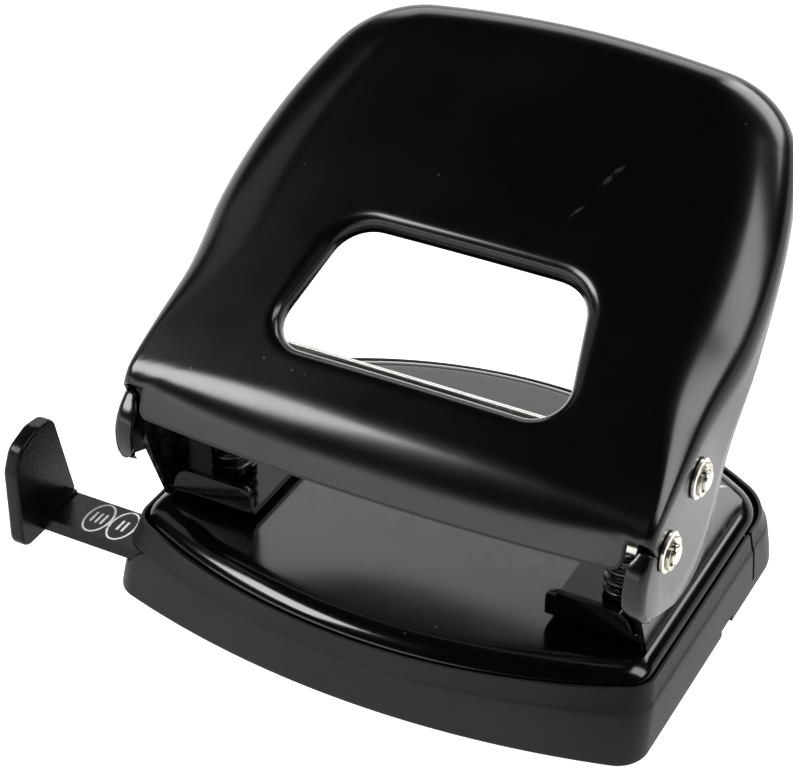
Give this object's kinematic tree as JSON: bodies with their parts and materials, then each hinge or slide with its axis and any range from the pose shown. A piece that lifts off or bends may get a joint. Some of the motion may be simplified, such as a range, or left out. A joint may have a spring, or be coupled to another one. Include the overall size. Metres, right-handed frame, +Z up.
{
  "type": "hole punch",
  "caption": "Desk hole punch: black pressed-steel base and slotted lever handle over sprung punches, on a plastic chip tray, with a slide-out paper guide.",
  "frame": {"origin": "on the desk, midway between the two punch axes", "axes": "+X along the punch line towards the side away from the paper guide, +Y from the paper side towards the free end of the handle, +Z up"},
  "size_m": [0.1268, 0.0963, 0.0912],
  "materials": {
    "tray_plastic": "matte moulded",
    "black_enamel": "gloss",
    "handle_enamel": "gloss",
    "rivet_steel": "dull",
    "punch_steel": "ground",
    "spring_wire": "blued",
    "zinc": "zinc plated",
    "rod_steel": "polished",
    "clip_steel": "dull zinc",
    "rail_steel": "plain",
    "guide_plastic": "satin moulded"
  },
  "bodies": {
    "tray": {"chip_tray": "tray_plastic", "hinge_pins": "zinc"},
    "chassis": {"base_plate": "black_enamel", "bracket_left": "black_enamel", "bracket_right": "black_enamel", "bracket_rivets": "rivet_steel", "pivot_axle": "rod_steel", "pivot_washers": "zinc", "pivot_clips": "clip_steel", "guide_rail": "rail_steel", "guide_spring": "clip_steel"},
    "lever": {"handle": "handle_enamel", "drive_rod": "rod_steel", "rod_washers": "zinc", "rod_clips": "clip_steel"},
    "left_punch": {"punch_left": "punch_steel", "spring_washer_left": "zinc", "spring_left": "spring_wire"},
    "right_punch": {"punch_right": "punch_steel", "spring_washer_right": "zinc", "spring_right": "spring_wire"},
    "guide": {"paper_guide": "guide_plastic", "guide_stop": "guide_plastic"}
  },
  "joints": [
    {"name": "tray_hinge", "type": "hinge", "parent": "tray", "child": "chassis", "pos_m": [0, 0.0514, 0.0105], "axis": [-1, 0, 0], "range_deg": [0, 50]},
    {"name": "handle_pivot", "type": "hinge", "parent": "chassis", "child": "lever", "pos_m": [0, -0.0124, 0.0393], "axis": [-1, 0, 0], "range_deg": [0, 26], "stiffness_Nm_per_rad": 1.2, "springref_deg": -34.38},
    {"name": "punch_left_slide", "type": "slide", "parent": "chassis", "child": "left_punch", "axis": [0, 0, -1], "range_m": [0, 0.0066], "deforming": ["spring_left"]},
    {"name": "punch_right_slide", "type": "slide", "parent": "chassis", "child": "right_punch", "axis": [0, 0, -1], "range_m": [0, 0.0066], "deforming": ["spring_right"]},
    {"name": "guide_slide", "type": "slide", "parent": "chassis", "child": "guide", "axis": [-1, 0, 0], "range_m": [-0.012, 0.04]}
  ],
  "couplings": [
    {"joint": "punch_left_slide", "follows": "handle_pivot", "m_per_rad": 0.0136},
    {"joint": "punch_right_slide", "follows": "handle_pivot", "m_per_rad": 0.0136}
  ]
}
